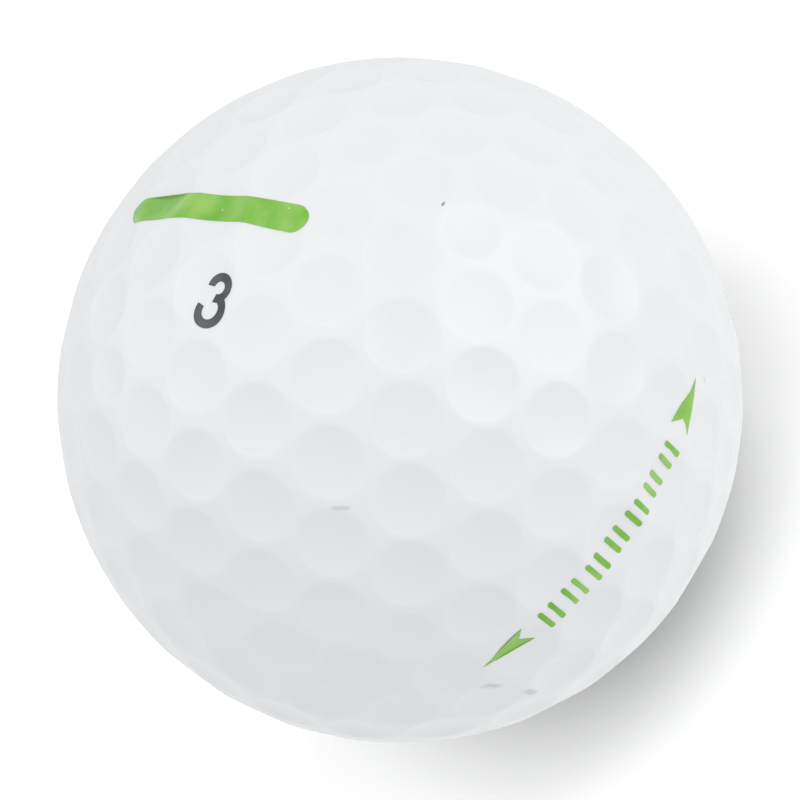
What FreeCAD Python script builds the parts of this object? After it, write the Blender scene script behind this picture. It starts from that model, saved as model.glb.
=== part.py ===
"""A two-piece golf ball: a rubber core, a dimpled cover moulded round it, and its printed marks.

Units are millimetres. The origin is the ball's centre. +Z runs through the middle of the top
print, the bottom print is on -Z, and the side print runs round the equator, centred on -Y.
"""

import FreeCAD, Part
import cmath
import math
import os

# Ball. The rules of golf allow no ball under 42.67 mm across.
BALL_RADIUS = 21.35
CORE_RADIUS = 19.45

# Dimple layout. An icosahedron's faces carry a triangular lattice whose corners are
# LATTICE_STEPS apart along the lattice's two directions, which gives 312 dimples in all.
LATTICE_STEPS = (1, 5)
SPREAD_ROUNDS = 200             # rounds in which neighbouring dimples push each other apart
SPREAD_STEP = 0.002
SPREAD_POWER = 6
SPREAD_REACH = 2.6              # in mean spacings

# One five-spaced dimple of the layout is tilted from +Z towards -X; the layout then spins round it.
PATTERN_TILT = 26.84            # degrees
PATTERN_HEADING = 180.0
PATTERN_SPIN = -6.16

# Dimples are spherical dishes. The twelve that have only five neighbours are smaller.
DIMPLE_HALF_ANGLE = 5.55        # degrees, from the dimple's middle to its rim, seen from the centre
DIMPLE_DEPTH = 0.16             # below the plane of the rim
SMALL_HALF_ANGLE = 4.6
SMALL_DEPTH = 0.13
CUTTER_MARGIN = 0.04            # how far a cutter is wider than its rim, so it clears the surface
CUTTER_TOP = 1.0                # how far a cutter stands out of the ball

# Prints: films of ink that follow the cover's surface, dimples included.
INK_THICKNESS = 0.04
PRINT_TURN = -69.7              # degrees from +X to the top print's reading direction
BAR_LENGTH = 13.6
BAR_WIDTH = 1.7
BAR_PLACE = (1.2, 0.9)          # along and above the reading line, from the pole
NUMBER_PLACE = (4.16, -4.70)

# The figure 3 is two bowls of one stroke width. Each has its middle, measured from the figure's,
# the radius of its centre line, and the angles in degrees between which it runs.
NUMBER_STROKE = 0.5
UPPER_BOWL = {"middle": (0.10, 0.77), "radius": 0.62, "start": 172.0, "end": -105.0}
LOWER_BOWL = {"middle": (-0.08, -0.56), "radius": 0.80, "start": 62.0, "end": -201.0}

# Side print: an arrowhead at each end, pointing outwards, with pairs of dashes between them.
ARROW_TIP = 10.55               # from the middle of the print, along the equator
ARROW_LENGTH = 3.25
ARROW_WIDTH = 1.6
ARROW_NOTCH = 0.65
PAIR_COUNT = 7
PAIR_PITCH = 1.87
DASH_SPACING = 0.8              # between the two dashes of a pair
DASH_LENGTH = 1.65
DASH_WIDTH = 0.34

X_AXIS = FreeCAD.Vector(1, 0, 0)
Y_AXIS = FreeCAD.Vector(0, 1, 0)
Z_AXIS = FreeCAD.Vector(0, 0, 1)
CENTRE = FreeCAD.Vector(0, 0, 0)


# ---- dimple layout ----

def at(latitude, longitude):
    """The unit vector at a latitude and longitude in radians."""
    return FreeCAD.Vector(math.cos(latitude) * math.cos(longitude),
                          math.cos(latitude) * math.sin(longitude),
                          math.sin(latitude))


def icosahedron():
    """The corners of an icosahedron that stands on one corner."""
    ring_latitude = math.atan(0.5)
    fifth = 2 * math.pi / 5
    upper = [at(ring_latitude, i * fifth) for i in range(5)]
    lower = [at(-ring_latitude, (i + 0.5) * fifth) for i in range(5)]
    top = at(math.pi / 2, 0)
    bottom = at(-math.pi / 2, 0)
    faces = []
    for i in range(5):
        j = (i + 1) % 5
        faces += [(top, upper[i], upper[j]), (upper[j], upper[i], lower[i]),
                  (lower[i], lower[j], upper[j]), (bottom, lower[j], lower[i])]
    return [top, bottom] + upper + lower, faces


def lattice_weights(steps):
    """Where the points of a triangular lattice fall on a face, as weights of its three corners."""
    turn = cmath.exp(1j * math.pi / 3)
    second = steps[0] + steps[1] * turn
    third = second * turn
    area = second.real * third.imag - second.imag * third.real
    reach = 2 * sum(steps)
    weights = []
    for i in range(-reach, reach):
        for j in range(-reach, reach):
            point = i + j * turn
            b = (point.real * third.imag - point.imag * third.real) / area
            c = (second.real * point.imag - second.imag * point.real) / area
            if min(1 - b - c, b, c) > -1e-9:
                weights.append((1 - b - c, b, c))
    return weights


def spread(points):
    """Let neighbouring points on the unit sphere push each other apart until they are even."""
    spacing = math.sqrt(4 * math.pi * 1.155 / len(points))
    near = [[q for q in range(len(points)) if q != p
             and (points[p] - points[q]).Length < 1.3 * SPREAD_REACH * spacing]
            for p in range(len(points))]
    for _ in range(SPREAD_ROUNDS):
        moved = []
        for point, others in zip(points, near):
            push = FreeCAD.Vector()
            for other in others:
                gap = point - points[other]
                if gap.Length < SPREAD_REACH * spacing:
                    push += gap * ((spacing / gap.Length) ** SPREAD_POWER / gap.Length)
            push -= point * push.dot(point)
            moved.append((point + push * SPREAD_STEP).normalize())
        points = moved
    return points


def dimple_layout():
    """Unit vectors to the dimples' middles: first the twelve small ones, then the others."""
    corners, faces = icosahedron()
    points = list(corners)
    for face in faces:
        for weights in lattice_weights(LATTICE_STEPS):
            point = FreeCAD.Vector()
            for weight, corner in zip(weights, face):
                point += corner * weight
            point.normalize()
            if all((point - other).Length > 1e-4 for other in points):
                points.append(point)
    turned = FreeCAD.Rotation(Z_AXIS, PATTERN_HEADING) * FreeCAD.Rotation(Y_AXIS, PATTERN_TILT)
    turned = turned * FreeCAD.Rotation(Z_AXIS, PATTERN_SPIN)
    return [turned.multVec(point) for point in spread(points)]


# ---- cover and core ----

def dimple_cutter(half_angle, depth, offset=0.0):
    """A plug along +Z whose lower face is the dimple's dish, moved out by offset."""
    rim_radius = BALL_RADIUS * math.sin(math.radians(half_angle))
    rim_height = BALL_RADIUS * math.cos(math.radians(half_angle))
    dish_radius = (rim_radius ** 2 + depth ** 2) / (2 * depth)
    dish_centre = rim_height - depth + dish_radius
    dish_radius -= offset
    side = rim_radius + CUTTER_MARGIN
    half_way = side / 2

    def dish(radius):
        drop = math.sqrt(dish_radius ** 2 - radius ** 2)
        return FreeCAD.Vector(radius, 0, dish_centre - drop)

    top_middle = FreeCAD.Vector(0, 0, BALL_RADIUS + CUTTER_TOP)
    top_side = FreeCAD.Vector(side, 0, BALL_RADIUS + CUTTER_TOP)
    profile = Part.Wire([Part.Arc(dish(0), dish(half_way), dish(side)).toShape(),
                         Part.LineSegment(dish(side), top_side).toShape(),
                         Part.LineSegment(top_side, top_middle).toShape(),
                         Part.LineSegment(top_middle, dish(0)).toShape()])
    return Part.Face(profile).revolve(CENTRE, Z_AXIS, 360)


def placed_cutters(layout, offset=0.0):
    """A cutter for every dimple, each turned out to its place."""
    small = dimple_cutter(SMALL_HALF_ANGLE, SMALL_DEPTH, offset)
    normal = dimple_cutter(DIMPLE_HALF_ANGLE, DIMPLE_DEPTH, offset)
    cutters = []
    for number, direction in enumerate(layout):
        cutter = (small if number < 12 else normal).copy()
        cutter.Placement = FreeCAD.Placement(CENTRE, FreeCAD.Rotation(Z_AXIS, direction))
        cutters.append(cutter)
    return cutters


def sphere_about(radius, pole):
    """A solid sphere whose own poles lie along the given direction."""
    sphere = Part.makeSphere(radius)
    sphere.Placement = FreeCAD.Placement(CENTRE, FreeCAD.Rotation(Z_AXIS, pole))
    return sphere


def cover(layout):
    """The moulded cover: a shell round the core, with the dimples cut from its outside."""
    outside = sphere_about(BALL_RADIUS, layout[0]).cut(placed_cutters(layout))
    return outside.cut(sphere_about(CORE_RADIUS, layout[0]))


def core(layout):
    """The solid rubber core, which fills the cover."""
    return sphere_about(CORE_RADIUS, layout[0])


# ---- flat outlines of the prints, as prisms that stand through the ball's surface at +Z ----

def prism(outline):
    """The closed outline, drawn at z = 0, as a prism through the surface."""
    face = Part.Face(outline)
    face.translate(Z_AXIS * (BALL_RADIUS - 2 * CUTTER_TOP))
    return face.extrude(Z_AXIS * 3 * CUTTER_TOP)


def rounded_bar(length, width):
    """A straight bar along X with round ends."""
    half = (length - width) / 2
    end = width / 2
    corners = [FreeCAD.Vector(-half, end, 0), FreeCAD.Vector(half, end, 0),
               FreeCAD.Vector(half, -end, 0), FreeCAD.Vector(-half, -end, 0)]
    tips = [FreeCAD.Vector(half + end, 0, 0), FreeCAD.Vector(-half - end, 0, 0)]
    return prism(Part.Wire([Part.LineSegment(corners[0], corners[1]).toShape(),
                            Part.Arc(corners[1], tips[0], corners[2]).toShape(),
                            Part.LineSegment(corners[2], corners[3]).toShape(),
                            Part.Arc(corners[3], tips[1], corners[0]).toShape()]))


def bowl(middle, radius, start, end):
    """A square-ended stroke along an arc."""
    def on(distance, angle):
        return FreeCAD.Vector(middle[0] + distance * math.cos(math.radians(angle)),
                              middle[1] + distance * math.sin(math.radians(angle)), 0)

    outer = radius + NUMBER_STROKE / 2
    inner = radius - NUMBER_STROKE / 2
    half_way = (start + end) / 2
    outside = Part.Arc(on(outer, start), on(outer, half_way), on(outer, end))
    inside = Part.Arc(on(inner, end), on(inner, half_way), on(inner, start))
    return prism(Part.Wire([outside.toShape(),
                            Part.LineSegment(on(outer, end), on(inner, end)).toShape(),
                            inside.toShape(),
                            Part.LineSegment(on(inner, start), on(outer, start)).toShape()]))


def figure_three():
    """A plain figure 3 made of two bowls, the lower starting inside the upper's stroke."""
    return bowl(**UPPER_BOWL).fuse(bowl(**LOWER_BOWL)).removeSplitter()


def arrowhead():
    """An arrowhead that points along +X, with a notched tail, centred on its length."""
    half = ARROW_LENGTH / 2
    points = [FreeCAD.Vector(half, 0, 0), FreeCAD.Vector(-half, ARROW_WIDTH / 2, 0),
              FreeCAD.Vector(-half + ARROW_NOTCH, 0, 0), FreeCAD.Vector(-half, -ARROW_WIDTH / 2, 0)]
    return prism(Part.makePolygon(points + points[:1]))


# ---- prints laid on the dimpled surface ----

def ink_film(stencil, turned, layout):
    """The part of the ink's skin that the stencil covers, once it is turned out to its place."""
    stencil = stencil.copy()
    stencil.Placement = FreeCAD.Placement(CENTRE, turned)
    outward = turned.multVec(Z_AXIS)
    sideways = turned.multVec(X_AXIS)
    reach = stencil.BoundBox.DiagonalLength / 2 + 2 * BALL_RADIUS * math.radians(DIMPLE_HALF_ANGLE)
    near = [n for n, direction in enumerate(layout)
            if direction.getAngle(outward) * BALL_RADIUS < reach]
    skin = sphere_about(BALL_RADIUS + INK_THICKNESS, sideways)
    raised = placed_cutters(layout, INK_THICKNESS)
    skin = skin.cut([raised[n] for n in near])
    body = sphere_about(BALL_RADIUS, sideways)
    dished = placed_cutters(layout)
    body = body.cut([dished[n] for n in near])
    return stencil.common(skin).cut(body)


def pole_turn(place, flip):
    """The rotation that carries +Z to a place beside the pole, given along the reading line."""
    distance = math.degrees(math.hypot(*place) / BALL_RADIUS)
    heading = PRINT_TURN + math.degrees(math.atan2(place[1], place[0]))
    turned = FreeCAD.Rotation(Z_AXIS, heading) * FreeCAD.Rotation(Y_AXIS, distance)
    turned = turned * FreeCAD.Rotation(Z_AXIS, PRINT_TURN - heading)
    return FreeCAD.Rotation(X_AXIS, flip) * turned


def equator_turn(distance, flip=0.0):
    """The rotation that carries +Z to a place on the equator, a distance along it from -Y."""
    longitude = math.degrees(distance / BALL_RADIUS)
    upright = FreeCAD.Rotation(Z_AXIS, longitude) * FreeCAD.Rotation(X_AXIS, 90)
    return upright * FreeCAD.Rotation(Z_AXIS, flip)


def prints(layout):
    """Every printed mark, by node name."""
    marks = {}
    for side, flip in (("top", 0), ("bottom", 180)):
        marks[side + "_bar_print"] = ink_film(rounded_bar(BAR_LENGTH, BAR_WIDTH),
                                              pole_turn(BAR_PLACE, flip), layout)
        marks[side + "_number_print"] = ink_film(figure_three(),
                                                 pole_turn(NUMBER_PLACE, flip), layout)
    arrow_middle = ARROW_TIP - ARROW_LENGTH / 2
    marks["side_arrow_print_right"] = ink_film(arrowhead(), equator_turn(arrow_middle), layout)
    marks["side_arrow_print_left"] = ink_film(arrowhead(), equator_turn(-arrow_middle, 180), layout)
    dash = rounded_bar(DASH_LENGTH, DASH_WIDTH)
    dashes = []
    for pair in range(PAIR_COUNT):
        middle = (pair - (PAIR_COUNT - 1) / 2) * PAIR_PITCH
        for side in (-1, 1):
            place = middle + side * DASH_SPACING / 2
            dashes.append(ink_film(dash, equator_turn(place, 90), layout))
    marks["side_dash_print"] = Part.makeCompound(dashes)
    return marks


def main():
    layout = dimple_layout()
    nodes = {"core": core(layout), "cover": cover(layout)}
    nodes.update(prints(layout))
    os.makedirs("parts", exist_ok=True)
    for name, shape in nodes.items():
        shape.exportStep("parts/" + name + ".step")
        print(name, "solids", len(shape.Solids), "valid", shape.isValid(),
              "volume", round(shape.Volume, 2))


main()
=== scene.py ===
"""A golf ball: its dimpled white cover and printed marks, on a plain pale floor.

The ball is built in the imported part's frame, in metres: origin at the ball's centre, +Z out
through the top print, -Y out through the middle of the side print.
"""

import math

import bmesh
import bpy
import numpy as np
from mathutils import Matrix, Vector, geometry


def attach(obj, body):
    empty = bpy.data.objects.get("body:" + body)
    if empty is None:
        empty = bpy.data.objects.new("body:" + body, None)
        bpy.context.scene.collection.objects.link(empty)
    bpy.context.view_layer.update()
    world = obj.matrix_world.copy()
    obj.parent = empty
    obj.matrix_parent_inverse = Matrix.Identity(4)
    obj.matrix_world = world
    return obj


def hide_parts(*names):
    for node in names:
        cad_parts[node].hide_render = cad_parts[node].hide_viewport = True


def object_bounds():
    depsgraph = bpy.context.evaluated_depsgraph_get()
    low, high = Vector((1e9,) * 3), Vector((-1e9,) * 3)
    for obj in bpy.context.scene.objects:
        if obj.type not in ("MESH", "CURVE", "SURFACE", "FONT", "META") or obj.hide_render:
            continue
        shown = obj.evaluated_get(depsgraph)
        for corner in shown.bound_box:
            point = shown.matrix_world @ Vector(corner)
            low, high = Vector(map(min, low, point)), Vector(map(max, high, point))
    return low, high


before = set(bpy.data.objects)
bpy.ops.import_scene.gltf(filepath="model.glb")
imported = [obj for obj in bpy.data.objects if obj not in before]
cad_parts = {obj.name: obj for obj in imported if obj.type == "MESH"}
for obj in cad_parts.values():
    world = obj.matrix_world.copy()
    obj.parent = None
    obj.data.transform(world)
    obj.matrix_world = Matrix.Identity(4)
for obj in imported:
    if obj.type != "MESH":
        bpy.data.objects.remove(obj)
cad_low, cad_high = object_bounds()

MM = 0.001

# The driving dimensions of the part.
BALL_RADIUS = 21.35 * MM
CORE_RADIUS = 19.45 * MM
LATTICE_STEPS = (1, 5)
SPREAD_ROUNDS = 200
SPREAD_STEP = 0.002
SPREAD_POWER = 6
SPREAD_REACH = 2.6
PATTERN_TILT = 26.84
PATTERN_HEADING = 180.0
PATTERN_SPIN = -6.16
SMALL_COUNT = 12
DIMPLE_HALF_ANGLE = 5.55
DIMPLE_DEPTH = 0.16 * MM
SMALL_HALF_ANGLE = 4.6
SMALL_DEPTH = 0.13 * MM
RIM_BLEND = 0.035 * MM          # how far above and below the rim its rounding reaches

PRINT_TURN = -69.7
BAR_LENGTH = 13.6 * MM
BAR_WIDTH = 1.7 * MM
BAR_PLACE = (1.2 * MM, 0.9 * MM)
NUMBER_PLACE = (4.16 * MM, -4.70 * MM)
NUMBER_STROKE = 0.5 * MM
UPPER_BOWL = {"middle": (0.10 * MM, 0.77 * MM), "radius": 0.62 * MM, "start": 172, "end": -105}
LOWER_BOWL = {"middle": (-0.08 * MM, -0.56 * MM), "radius": 0.80 * MM, "start": 62, "end": -201}
ARROW_TIP = 10.55 * MM
ARROW_LENGTH = 3.25 * MM
ARROW_WIDTH = 1.6 * MM
ARROW_NOTCH = 0.65 * MM
PAIR_COUNT = 7
PAIR_PITCH = 1.87 * MM
DASH_SPACING = 0.8 * MM
DASH_LENGTH = 1.65 * MM
DASH_WIDTH = 0.34 * MM

# How finely the visible meshes are divided.
SIDE_PARTS = 6                  # segments on each side of a dimple's cell
RINGS = (0.35, 0.65, 0.85, 0.93, 0.98, 1.035)     # shares of the dimple's half angle
INNER_DIVISIONS = 4
INK_LIFT = 0.015 * MM
INK_ROOT = -0.02 * MM
INK_GRID = 0.14 * MM
INK_ARC_STEP = 6.0              # degrees
SLOPE_REACH = 0.0004            # how far each way, in radians, the surface's slope is taken

# Colours, linear.
# The dimples' white holds painted shade: a touch darker and bluer than the lands', for the cool shade
# in the hollows.
WHITE_DISH_PAINTED_SHADE_DARK = (0.745, 0.757, 0.77, 1)
WHITE_DISH_PAINTED_SHADE_LIGHT = (0.77, 0.78, 0.795, 1)
WHITE_LAND_DARK = (0.75, 0.76, 0.767, 1)
WHITE_LAND_LIGHT = (0.775, 0.785, 0.792, 1)
SCUFF_COLOUR = (0.16, 0.17, 0.18, 1)
GREEN_DARK = (0.13, 0.41, 0.015, 1)
GREEN_LIGHT = (0.27, 0.53, 0.085, 1)
BLACK_DARK = (0.018, 0.019, 0.02, 1)
BLACK_LIGHT = (0.085, 0.087, 0.09, 1)
CORE_DARK = (0.05, 0.2, 0.32, 1)
CORE_LIGHT = (0.1, 0.3, 0.42, 1)

# Small marks of use: from one place to another in degrees of longitude and latitude, the
# radius of the mark, and how dark it is.
MARKS = (
    ((38, 49), (39, 49), 0.12 * MM, 1.0),
    ((-45, 44), (-45, 44), 0.2 * MM, 0.6),
    ((-28, 37), (-26, 36), 0.22 * MM, 0.2),
    ((-20, 30), (-20, 30), 0.17 * MM, 0.45),
    ((-6, 23), (-6, 23), 0.15 * MM, 0.35),
    ((-31, -5), (-30, -7), 0.5 * MM, 0.3),
    ((-28, -13), (-28, -15), 0.4 * MM, 0.28),
    ((30, -3), (30, -3), 0.3 * MM, 0.3),
    ((118, 21), (121, 19), 0.25 * MM, 0.25),
    ((161, -34), (161, -34), 0.2 * MM, 0.6),
)
MARK_RAGGEDNESS = 0.3 * MM
MARK_CORE = 0.25                # share of a mark's radius that is at full strength

# Grain of the surfaces. Scales are in cycles per metre.
RAGGED_SCALE = 2200.0
CLOUD_SCALE = 90.0
WEAR_SCALE = 260.0
WEAR_ROUGHNESS = (0.34, 0.46)
PEEL_SCALE = 1400.0
PEEL_STRENGTH = 0.15
PEEL_HEIGHT = 0.004 * MM
SUBSURFACE_WEIGHT = 0.25
SUBSURFACE_RADIUS = (1.0, 0.95, 0.9)
SUBSURFACE_DEPTH = 0.6 * MM
MOTTLE_SCALE = 420.0
INK_GRAIN_SCALE = 2500.0
INK_GRAIN_STRENGTH = 0.2
INK_GRAIN_HEIGHT = 0.005 * MM
INK_ROUGHNESS = 0.4
PINHOLE_SPACING = 0.9 * MM
PINHOLE_RADIUS = 0.09 * MM
PINHOLE_GATE = 0.6              # the share of the places that get no pinhole
SPECULAR_LEVEL = 0.15
COAT_WEIGHT = 0.8
COAT_ROUGHNESS = 0.25
CORE_GRAIN_SCALE = 600.0
CORE_ROUGHNESS = 0.75


# ---- the dimple layout ----

def unit(points):
    return points / np.linalg.norm(points, axis=-1, keepdims=True)


def icosahedron():
    """Corners of an icosahedron that stands on one corner, and its faces as index triples."""
    ring_latitude = math.atan(0.5)
    fifth = 2 * math.pi / 5

    def at(latitude, longitude):
        return (math.cos(latitude) * math.cos(longitude),
                math.cos(latitude) * math.sin(longitude), math.sin(latitude))

    corners = [at(math.pi / 2, 0), at(-math.pi / 2, 0)]
    corners += [at(ring_latitude, i * fifth) for i in range(5)]
    corners += [at(-ring_latitude, (i + 0.5) * fifth) for i in range(5)]
    faces = []
    for i in range(5):
        j = (i + 1) % 5
        faces += [(0, 2 + i, 2 + j), (2 + j, 2 + i, 7 + i), (7 + i, 7 + j, 2 + j), (1, 7 + j, 7 + i)]
    return np.array(corners), faces


def lattice_weights(steps):
    """Where the points of a triangular lattice fall on a face, as weights of its three corners."""
    turn = complex(math.cos(math.pi / 3), math.sin(math.pi / 3))
    second = steps[0] + steps[1] * turn
    third = second * turn
    area = second.real * third.imag - second.imag * third.real
    reach = 2 * sum(steps)
    weights = []
    for i in range(-reach, reach):
        for j in range(-reach, reach):
            point = i + j * turn
            b = (point.real * third.imag - point.imag * third.real) / area
            c = (second.real * point.imag - second.imag * point.real) / area
            if min(1 - b - c, b, c) > -1e-9:
                weights.append((1 - b - c, b, c))
    return np.array(weights)


def spread(points):
    """Let neighbouring points on the unit sphere push each other apart until they are even."""
    spacing = math.sqrt(4 * math.pi * 1.155 / len(points))
    for _ in range(SPREAD_ROUNDS):
        gaps = points[:, None, :] - points[None, :, :]
        lengths = np.linalg.norm(gaps, axis=2)
        near = (lengths > 1e-6) & (lengths < SPREAD_REACH * spacing)
        lengths[~near] = 1
        strength = np.where(near, (spacing / lengths) ** SPREAD_POWER / lengths, 0)
        push = (gaps * strength[..., None]).sum(axis=1)
        push -= points * (push * points).sum(axis=1, keepdims=True)
        points = unit(points + push * SPREAD_STEP)
    return points


def turned(axis, degrees):
    return np.array(Matrix.Rotation(math.radians(degrees), 3, axis))


def dimple_layout():
    """Unit vectors to the dimples' middles: first the twelve small ones, then the others."""
    corners, faces = icosahedron()
    points = list(corners)
    for face in faces:
        for point in unit(lattice_weights(LATTICE_STEPS) @ corners[list(face)]):
            if np.linalg.norm(np.array(points) - point, axis=1).min() > 1e-4:
                points.append(point)
    pose = turned("Z", PATTERN_HEADING) @ turned("Y", PATTERN_TILT) @ turned("Z", PATTERN_SPIN)
    return spread(np.array(points)) @ pose.T


LAYOUT = dimple_layout()
HALF_ANGLES = np.full(len(LAYOUT), math.radians(DIMPLE_HALF_ANGLE))
HALF_ANGLES[:SMALL_COUNT] = math.radians(SMALL_HALF_ANGLE)
DEPTHS = np.full(len(LAYOUT), DIMPLE_DEPTH)
DEPTHS[:SMALL_COUNT] = SMALL_DEPTH


# ---- the dimpled surface ----

def surface_height(directions):
    """How far the cover's surface stands above the ball's radius, which is 0 or less."""
    rim_radius = BALL_RADIUS * np.sin(HALF_ANGLES)
    dish_radius = (rim_radius ** 2 + DEPTHS ** 2) / (2 * DEPTHS)
    dish_centre = BALL_RADIUS * np.cos(HALF_ANGLES) - DEPTHS + dish_radius
    cosine = np.clip(directions @ LAYOUT.T, -1, 1)
    nearest = np.argsort(-cosine, axis=1)[:, :4]
    cosine = np.take_along_axis(cosine, nearest, axis=1)
    centre, radius = dish_centre[nearest], dish_radius[nearest]
    room = np.maximum(radius ** 2 - centre ** 2 * (1 - cosine ** 2), 0)
    dish = centre * cosine - np.sqrt(room) - BALL_RADIUS
    rounding = np.maximum(RIM_BLEND - np.abs(dish), 0) ** 2 / (4 * RIM_BLEND)
    return (np.minimum(dish, 0) - rounding).sum(axis=1)


def in_chunks(work, rows, size=20000):
    return np.concatenate([work(rows[i:i + size]) for i in range(0, len(rows), size)])


def surface_points(directions, lift=0.0):
    """Points of the cover's surface in the given directions, lifted outwards."""
    height = in_chunks(surface_height, directions)
    return directions * (BALL_RADIUS + height + lift)[:, None]


def surface_normals(directions):
    """The surface's outward normals, from its slope over a small angle each way."""
    helper = np.where(np.abs(directions[:, 2:]) < 0.9, [[0.0, 0.0, 1.0]], [[1.0, 0.0, 0.0]])
    side = unit(np.cross(helper, directions))
    other = np.cross(directions, side)
    along = [surface_points(unit(directions + sign * SLOPE_REACH * way))
             for way in (side, other) for sign in (1, -1)]
    return unit(np.cross(along[0] - along[1], along[2] - along[3]))


# ---- the cover's mesh: one cell of rings round every dimple ----

def cell_faces():
    """Triangles between neighbouring dimples, and where the three cells of each meet."""
    poles = LAYOUT / np.cos(HALF_ANGLES)[:, None]
    work = bmesh.new()
    verts = [work.verts.new(pole) for pole in poles]
    work.verts.index_update()
    bmesh.ops.convex_hull(work, input=verts)
    triples, meets = [], []
    for face in work.faces:
        i, j, k = (v.index for v in face.verts)
        normal = np.cross(poles[j] - poles[i], poles[k] - poles[i])
        if normal @ poles[i] < 0:
            j, k = k, j
            normal = -normal
        triples.append((i, j, k))
        meets.append(normal / np.linalg.norm(normal))
    work.free()
    return triples, np.array(meets)


def outer_grid():
    """Directions and faces of the cover's outside."""
    triples, meets = cell_faces()
    directions = list(meets)
    after = {}
    for number, (i, j, k) in enumerate(triples):
        for a, b, c in ((i, j, k), (j, k, i), (k, i, j)):
            after[a, b] = (number, c)
    sides = {}

    def side_points(dimple, neighbour, start, end):
        """Indices of the points between two corners of a cell, shared with the neighbour's."""
        key = (min(dimple, neighbour), max(dimple, neighbour))
        if key not in sides:
            first = len(directions)
            for step in range(1, SIDE_PARTS):
                share = step / SIDE_PARTS
                directions.append(unit(meets[start] * (1 - share) + meets[end] * share))
            sides[key] = (start, list(range(first, len(directions))))
        begin, indices = sides[key]
        return indices if begin == start else indices[::-1]

    faces = []
    for dimple, middle in enumerate(LAYOUT):
        first = next(b for a, b in after if a == dimple)
        neighbour, border = first, []
        while True:
            start, following = after[dimple, neighbour]
            end = after[dimple, following][0]
            border += [start] + side_points(dimple, following, start, end)
            neighbour = following
            if neighbour == first:
                break
        edge = np.array([directions[i] for i in border])
        angles = np.arccos(np.clip(edge @ middle, -1, 1))
        tangents = unit(edge - (edge @ middle)[:, None] * middle)
        last = RINGS[-1] * HALF_ANGLES[dimple]
        reaches = [np.full(len(border), share * HALF_ANGLES[dimple]) for share in RINGS]
        reaches.append((angles + last) / 2)
        loops = []
        for reach in reaches:
            loop = middle * np.cos(reach)[:, None] + tangents * np.sin(reach)[:, None]
            loops.append(list(range(len(directions), len(directions) + len(border))))
            directions += list(loop)
        loops.append(border)
        hub = len(directions)
        directions.append(middle)
        for i in range(len(border)):
            j = (i + 1) % len(border)
            faces.append((hub, loops[0][i], loops[0][j]))
            for inner, outer in zip(loops, loops[1:]):
                faces.append((inner[i], outer[i], outer[j], inner[j]))
    return np.array(directions), faces


def inner_grid():
    """Directions and inward-facing faces of the sphere that the cover is moulded round."""
    work = bmesh.new()
    bmesh.ops.create_icosphere(work, subdivisions=INNER_DIVISIONS, radius=1)
    directions = np.array([v.co[:] for v in work.verts])
    faces = [tuple(v.index for v in reversed(face.verts)) for face in work.faces]
    work.free()
    return unit(directions), faces


def new_piece(name, points, faces, normals, material, node):
    """A smooth mesh that stands for a node and rides on the ball."""
    mesh = bpy.data.meshes.new(name)
    mesh.from_pydata([tuple(p) for p in points], [], faces)
    mesh.shade_smooth()
    if normals is not None:
        mesh.normals_split_custom_set_from_vertices([tuple(n) for n in normals])
    mesh.materials.append(material)
    piece = bpy.data.objects.new(name, mesh)
    bpy.context.scene.collection.objects.link(piece)
    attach(piece, "root")
    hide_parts(node)
    return piece


def build_cover(material):
    outer, outer_faces = outer_grid()
    inner, inner_faces = inner_grid()
    points = np.concatenate([surface_points(outer), inner * CORE_RADIUS])
    normals = np.concatenate([surface_normals(outer), -inner])
    faces = outer_faces + [tuple(i + len(outer) for i in face) for face in inner_faces]
    return new_piece("dimpled_cover", points, faces, normals, material, "cover")


# ---- the printed marks: thin films laid over the dimples ----

def arc_points(middle, radius, start, end):
    steps = max(2, math.ceil(abs(end - start) / INK_ARC_STEP))
    angles = np.radians(np.linspace(start, end, steps + 1))
    return [(middle[0] + radius * math.cos(a), middle[1] + radius * math.sin(a)) for a in angles]


def rounded_bar(length, width):
    half = (length - width) / 2
    end = width / 2
    return [arc_points((half, 0), end, -90, 90) + arc_points((-half, 0), end, 90, 270)]


def bowl(middle, radius, start, end):
    outside = arc_points(middle, radius + NUMBER_STROKE / 2, start, end)
    inside = arc_points(middle, radius - NUMBER_STROKE / 2, end, start)
    return outside + inside


def figure_three():
    return [bowl(**UPPER_BOWL), bowl(**LOWER_BOWL)]


def arrowhead():
    half = ARROW_LENGTH / 2
    return [[(half, 0), (-half, ARROW_WIDTH / 2), (-half + ARROW_NOTCH, 0), (-half, -ARROW_WIDTH / 2)]]


def filled(outlines):
    """Flat points and triangles that fill the outlines, fine enough to follow the dimples."""
    points = [Vector(p) for outline in outlines for p in outline]
    rings, first = [], 0
    for outline in outlines:
        rings.append(list(range(first, first + len(outline))))
        first += len(outline)
    low = np.min([tuple(p) for p in points], axis=0)
    high = np.max([tuple(p) for p in points], axis=0)
    for x in np.arange(low[0], high[0], INK_GRID):
        for y in np.arange(low[1], high[1], INK_GRID):
            points.append(Vector((x, y)))
    verts, _, faces, *_ = geometry.delaunay_2d_cdt(points, [], rings, 1, 1e-8)
    used = sorted({i for face in faces for i in face})
    place = {old: new for new, old in enumerate(used)}
    triangles = [tuple(place[i] for i in face) for face in faces]
    return np.array([tuple(verts[i]) for i in used]), triangles


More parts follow.
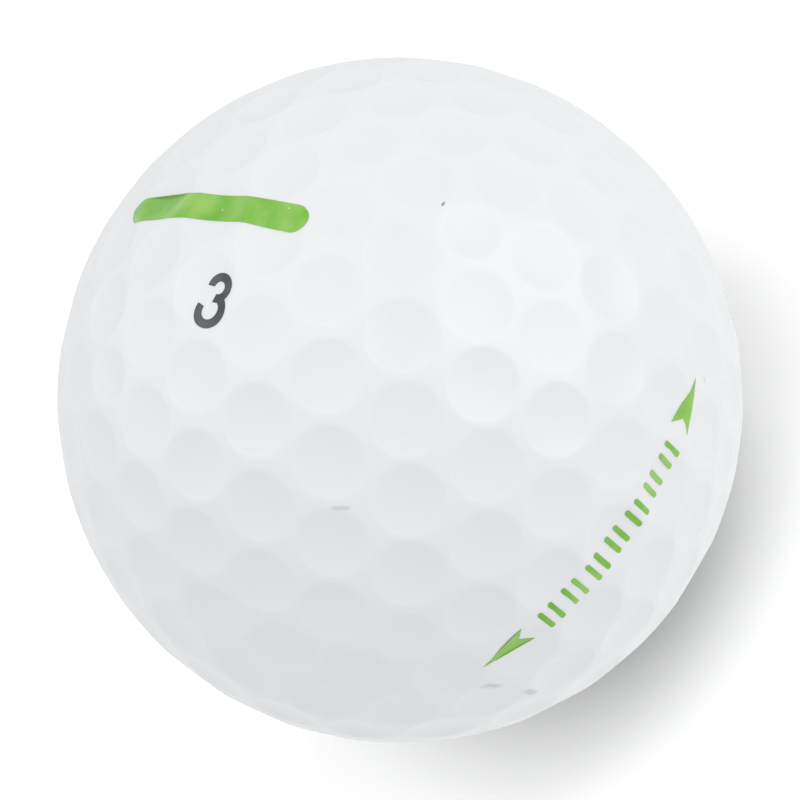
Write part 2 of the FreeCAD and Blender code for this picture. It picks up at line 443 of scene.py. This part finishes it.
def film(outlines, rotation, material, name, node, others=()):
    """A closed film of ink over the outlines, at each of the given rotations from +Z."""
    flat, triangles = filled(outlines)
    height = np.sqrt(1 - (flat ** 2).sum(axis=1) / BALL_RADIUS ** 2)
    local = np.column_stack([flat / BALL_RADIUS, height])
    points, faces, normals = [], [], []
    for pose in (rotation, *others):
        directions = unit(local @ pose.T)
        first = sum(len(p) for p in points)
        count = len(directions)
        points += [surface_points(directions, INK_LIFT), surface_points(directions, INK_ROOT)]
        outward = surface_normals(directions)
        normals += [outward, outward]
        faces += [tuple(first + i for i in face) for face in triangles]
        faces += [tuple(first + count + i for i in reversed(face)) for face in triangles]
        edges = {(a, b) for f in triangles for a, b in zip(f, f[1:] + f[:1])}
        for a, b in sorted(edges):
            if (b, a) not in edges:
                faces.append((first + b, first + a, first + count + a, first + count + b))
    return new_piece(name, np.concatenate(points), faces, np.concatenate(normals),
                     material, node)


def pole_turn(place, flip):
    """The rotation that carries +Z to a place beside the pole, given along the reading line."""
    distance = math.degrees(math.hypot(*place) / BALL_RADIUS)
    heading = PRINT_TURN + math.degrees(math.atan2(place[1], place[0]))
    across = turned("Z", heading) @ turned("Y", distance) @ turned("Z", PRINT_TURN - heading)
    return turned("X", flip) @ across


def equator_turn(distance, flip=0.0):
    """The rotation that carries +Z to a place on the equator, a distance along it from -Y."""
    longitude = math.degrees(distance / BALL_RADIUS)
    return turned("Z", longitude) @ turned("X", 90) @ turned("Z", flip)


def build_prints(green, black):
    for side, flip in (("top", 0), ("bottom", 180)):
        film(rounded_bar(BAR_LENGTH, BAR_WIDTH), pole_turn(BAR_PLACE, flip), green,
             side + "_bar_ink", side + "_bar_print")
        film(figure_three(), pole_turn(NUMBER_PLACE, flip), black,
             side + "_number_ink", side + "_number_print")
    middle = ARROW_TIP - ARROW_LENGTH / 2
    film(arrowhead(), equator_turn(middle), green,
         "side_arrow_ink_right", "side_arrow_print_right")
    film(arrowhead(), equator_turn(-middle, 180), green,
         "side_arrow_ink_left", "side_arrow_print_left")
    places = [(pair - (PAIR_COUNT - 1) / 2) * PAIR_PITCH + side * DASH_SPACING / 2
              for pair in range(PAIR_COUNT) for side in (-1, 1)]
    turns = [equator_turn(place, 90) for place in places]
    film(rounded_bar(DASH_LENGTH, DASH_WIDTH), turns[0], green,
         "side_dash_ink", "side_dash_print", turns[1:])


# ---- materials ----

def add(tree, kind, inputs=None, **settings):
    node = tree.nodes.new(kind)
    for name, value in settings.items():
        setattr(node, name, value)
    for name, value in (inputs or {}).items():
        if isinstance(value, bpy.types.NodeSocket):
            tree.links.new(value, node.inputs[name])
        else:
            node.inputs[name].default_value = value
    return node


def new_material(name):
    material = bpy.data.materials.new(name)
    material.use_nodes = True
    tree = material.node_tree
    return material, tree, tree.nodes["Principled BSDF"]


def link_noise(tree, place, scale, detail=3.0):
    noise = add(tree, "ShaderNodeTexNoise", {"Vector": place, "Scale": scale, "Detail": detail})
    return noise.outputs["Fac"]


def blend(tree, amount, low, high):
    """A colour between two others."""
    return add(tree, "ShaderNodeMix", {"Factor": amount, "A": low, "B": high},
               data_type="RGBA").outputs["Result"]


def ramp(tree, value, start, end):
    """0 where the value is at start or before it, rising smoothly to 1 at end."""
    return add(tree, "ShaderNodeMapRange", {"Value": value, "From Min": start, "From Max": end},
               interpolation_type="SMOOTHSTEP").outputs["Result"]


def calculate(tree, operation, first, second):
    node = add(tree, "ShaderNodeMath", operation=operation)
    for socket, value in zip(node.inputs, (first, second)):
        if isinstance(value, bpy.types.NodeSocket):
            tree.links.new(value, socket)
        else:
            socket.default_value = value
    return node.outputs["Value"]


def on_ball(longitude, latitude):
    """A place on the ball, in degrees from -Y towards +X and from the equator towards +Z."""
    longitude, latitude = math.radians(longitude), math.radians(latitude)
    return BALL_RADIUS * Vector((math.sin(longitude) * math.cos(latitude),
                                 -math.cos(longitude) * math.cos(latitude), math.sin(latitude)))


def mark_masks(tree, place):
    """Each scuff and speck as a pair: where it is, from 0 to 1, and how strong it is."""
    warp = add(tree, "ShaderNodeTexNoise",
               {"Vector": place, "Scale": RAGGED_SCALE, "Detail": 3.0})
    ragged = add(tree, "ShaderNodeVectorMath", {0: warp.outputs["Color"]}, operation="SCALE")
    ragged.inputs["Scale"].default_value = MARK_RAGGEDNESS
    moved = add(tree, "ShaderNodeVectorMath", {0: place, 1: ragged.outputs["Vector"]})
    shift = Vector((MARK_RAGGEDNESS / 2,) * 3)
    for start, end, radius, strength in MARKS:
        start, end = on_ball(*start), on_ball(*end)
        spots = 1 + round((end - start).length / radius)
        for spot in range(spots):
            middle = start.lerp(end, spot / max(spots - 1, 1)) + shift
            away = add(tree, "ShaderNodeVectorMath", {0: moved.outputs["Vector"], 1: middle},
                       operation="DISTANCE")
            yield ramp(tree, away.outputs["Value"], radius, radius * MARK_CORE), strength


def bump(tree, place, scale, strength, height):
    """A fine grain on the surface, as a normal."""
    grain = link_noise(tree, place, scale, 2.0)
    return add(tree, "ShaderNodeBump",
               {"Height": grain, "Strength": strength, "Distance": height}).outputs["Normal"]


def clear_coat(shader):
    """The clear coat that lies over the paint and the ink."""
    shader.inputs["Specular IOR Level"].default_value = SPECULAR_LEVEL
    shader.inputs["Coat Weight"].default_value = COAT_WEIGHT
    shader.inputs["Coat Roughness"].default_value = COAT_ROUGHNESS


def cover_material():
    """White paint under a clear coat, with painted shade in the dimples, which are a little darker and
    bluer, and small scuffs.
    """
    material, tree, shader = new_material("white_ionomer")
    place = add(tree, "ShaderNodeTexCoord").outputs["Object"]
    radius = add(tree, "ShaderNodeVectorMath", {0: place}, operation="LENGTH").outputs["Value"]
    # Painted shade: below the lands, by depth, the white turns to the darker, bluer dimple white.
    land = ramp(tree, radius, BALL_RADIUS - DIMPLE_DEPTH * 0.7, BALL_RADIUS)
    cloud = link_noise(tree, place, CLOUD_SCALE)
    dish = blend(tree, cloud, WHITE_DISH_PAINTED_SHADE_DARK, WHITE_DISH_PAINTED_SHADE_LIGHT)
    top = blend(tree, cloud, WHITE_LAND_DARK, WHITE_LAND_LIGHT)
    colour = blend(tree, land, dish, top)
    for mask, strength in mark_masks(tree, place):
        colour = blend(tree, calculate(tree, "MULTIPLY", mask, strength), colour, SCUFF_COLOUR)
    tree.links.new(colour, shader.inputs["Base Color"])
    wear = link_noise(tree, place, WEAR_SCALE, 5.0)
    smooth, worn = WEAR_ROUGHNESS
    roughness = add(tree, "ShaderNodeMapRange", {"Value": wear, "To Min": smooth, "To Max": worn})
    tree.links.new(roughness.outputs["Result"], shader.inputs["Roughness"])
    tree.links.new(bump(tree, place, PEEL_SCALE, PEEL_STRENGTH, PEEL_HEIGHT), shader.inputs["Normal"])
    shader.inputs["Subsurface Weight"].default_value = SUBSURFACE_WEIGHT
    shader.inputs["Subsurface Radius"].default_value = SUBSURFACE_RADIUS
    shader.inputs["Subsurface Scale"].default_value = SUBSURFACE_DEPTH
    clear_coat(shader)
    return material


def ink_material(name, dark, light):
    """Pad-printed ink: mottled, with a few pinholes where the white shows through."""
    material, tree, shader = new_material(name)
    place = add(tree, "ShaderNodeTexCoord").outputs["Object"]
    mottle = ramp(tree, link_noise(tree, place, MOTTLE_SCALE, 5.0), 0.3, 0.7)
    colour = blend(tree, mottle, dark, light)
    cells = add(tree, "ShaderNodeTexVoronoi", {"Vector": place, "Scale": 1 / PINHOLE_SPACING})
    hole = ramp(tree, cells.outputs["Distance"], PINHOLE_RADIUS / PINHOLE_SPACING,
                PINHOLE_RADIUS / PINHOLE_SPACING / 2)
    chance = add(tree, "ShaderNodeSeparateColor", {"Color": cells.outputs["Color"]}).outputs["Red"]
    chosen = calculate(tree, "GREATER_THAN", chance, PINHOLE_GATE)
    colour = blend(tree, calculate(tree, "MULTIPLY", hole, chosen), colour, WHITE_LAND_LIGHT)
    tree.links.new(colour, shader.inputs["Base Color"])
    grain = bump(tree, place, INK_GRAIN_SCALE, INK_GRAIN_STRENGTH, INK_GRAIN_HEIGHT)
    tree.links.new(grain, shader.inputs["Normal"])
    shader.inputs["Roughness"].default_value = INK_ROUGHNESS
    clear_coat(shader)
    return material


def core_material():
    material, tree, shader = new_material("core_rubber")
    place = add(tree, "ShaderNodeTexCoord").outputs["Object"]
    grain = link_noise(tree, place, CORE_GRAIN_SCALE, 6.0)
    tree.links.new(blend(tree, grain, CORE_DARK, CORE_LIGHT), shader.inputs["Base Color"])
    shader.inputs["Roughness"].default_value = CORE_ROUGHNESS
    return material


# ---- stage, light and camera ----

CAMERA_AZIMUTH = -5.1           # degrees, 0 looks along +Y
CAMERA_ELEVATION = 42.3
CAMERA_ROLL = -49.8
CAMERA_DISTANCE = 6.0 * BALL_RADIUS
VIEW_SHARE = 343 / 400          # of the half frame that the ball's outline takes
SENSOR = 36.0

WORLD_COLOUR = (0.985, 0.995, 1, 1)
WORLD_STRENGTH = 0.79
WORLD_LIFT = 0.21               # how much stronger it is from straight below
FLOOR_SIZE = 6.0
FLOOR_COLOUR = (0.3, 0.3, 0.3, 1)
FLOOR_ROUGHNESS = 0.9
FLOOR_SPECULAR = 0.1
LIGHT_DISTANCE = 0.8
# Name, elevation and azimuth in degrees, size and power.
TENT_PANELS = (
    ("top_panel", 90, 0, 0.8, 1.2),
    ("right_panel", 18, 45, 0.8, 2.3),
    ("back_left_panel", 50, 225, 0.8, 0.9),
)
FLOOR_LIGHTS = (
    ("left_floor_light", 60, -60, 1.0, 27),
    ("right_floor_light", 45, 90, 0.8, 17.5),
)


def camera_axes():
    """The camera's right, up and backward directions."""
    azimuth, elevation = math.radians(CAMERA_AZIMUTH), math.radians(CAMERA_ELEVATION)
    back = Vector((math.sin(azimuth) * math.cos(elevation),
                   -math.cos(azimuth) * math.cos(elevation), math.sin(elevation)))
    right = Vector((0, 0, 1)).cross(back).normalized()
    right = Matrix.Rotation(math.radians(CAMERA_ROLL), 3, back) @ right
    return right, back.cross(right), back


def build_camera():
    right, up, back = camera_axes()
    data = bpy.data.cameras.new("camera")
    limb = math.asin(BALL_RADIUS / CAMERA_DISTANCE)
    data.sensor_width = SENSOR
    data.lens = SENSOR / 2 * VIEW_SHARE / math.tan(limb)
    data.clip_start = BALL_RADIUS
    data.clip_end = 100.0
    camera = bpy.data.objects.new("camera", data)
    turn = Matrix((right, up, back)).transposed().to_4x4()
    camera.matrix_world = Matrix.Translation(back * CAMERA_DISTANCE) @ turn
    bpy.context.scene.collection.objects.link(camera)
    bpy.context.scene.camera = camera


def build_floor():
    """A floor that throws no light back: the world's stronger light from below stands in for it."""
    bpy.ops.mesh.primitive_plane_add(size=FLOOR_SIZE, location=(0, 0, cad_low.z))
    floor = bpy.context.object
    floor.name = "floor"
    material, _, shader = new_material("pale_floor")
    shader.inputs["Base Color"].default_value = FLOOR_COLOUR
    shader.inputs["Roughness"].default_value = FLOOR_ROUGHNESS
    shader.inputs["Specular IOR Level"].default_value = FLOOR_SPECULAR
    floor.data.materials.append(material)
    floor.visible_diffuse = False
    floor.visible_glossy = False
    floor.visible_shadow = False
    return floor


def area_light(name, elevation, azimuth, size, power):
    """A square soft light that faces the ball, placed by angles as the camera is."""
    elevation, azimuth = math.radians(elevation), math.radians(azimuth)
    toward = Vector((math.cos(elevation) * math.sin(azimuth),
                     -math.cos(elevation) * math.cos(azimuth), math.sin(elevation)))
    data = bpy.data.lights.new(name, "AREA")
    data.size = size
    data.energy = power
    light = bpy.data.objects.new(name, data)
    light.location = toward * LIGHT_DISTANCE
    light.rotation_euler = toward.to_track_quat("Z", "Y").to_euler()
    bpy.context.scene.collection.objects.link(light)
    return light


def build_world():
    """Even light from every side and from above, and more from below, as off a bright floor."""
    world = bpy.data.worlds.new("studio")
    world.use_nodes = True
    tree = world.node_tree
    direction = add(tree, "ShaderNodeTexCoord").outputs["Generated"]
    downward = add(tree, "ShaderNodeVectorMath", {0: direction, 1: (0, 0, -1)},
                   operation="DOT_PRODUCT").outputs["Value"]
    lift = calculate(tree, "MULTIPLY", calculate(tree, "MAXIMUM", downward, 0.0), WORLD_LIFT)
    strength = calculate(tree, "ADD", lift, WORLD_STRENGTH)
    background = tree.nodes["Background"]
    background.inputs["Color"].default_value = WORLD_COLOUR
    tree.links.new(strength, background.inputs["Strength"])
    bpy.context.scene.world = world


def build_lights(floor):
    """Three large soft panels round the ball, and two lights that only brighten the floor."""
    for panel in TENT_PANELS:
        area_light(*panel)
    floor_only = bpy.data.collections.new("floor_only")
    floor_only.objects.link(floor)
    for floor_light in FLOOR_LIGHTS:
        area_light(*floor_light).light_linking.receiver_collection = floor_only


build_camera()
green_ink = ink_material("green_ink", GREEN_DARK, GREEN_LIGHT)
black_ink = ink_material("black_ink", BLACK_DARK, BLACK_LIGHT)
build_cover(cover_material())
build_prints(green_ink, black_ink)
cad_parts["core"].material_slots[0].material = core_material()
build_world()
build_lights(build_floor())
bpy.context.scene.view_settings.view_transform = "Standard"
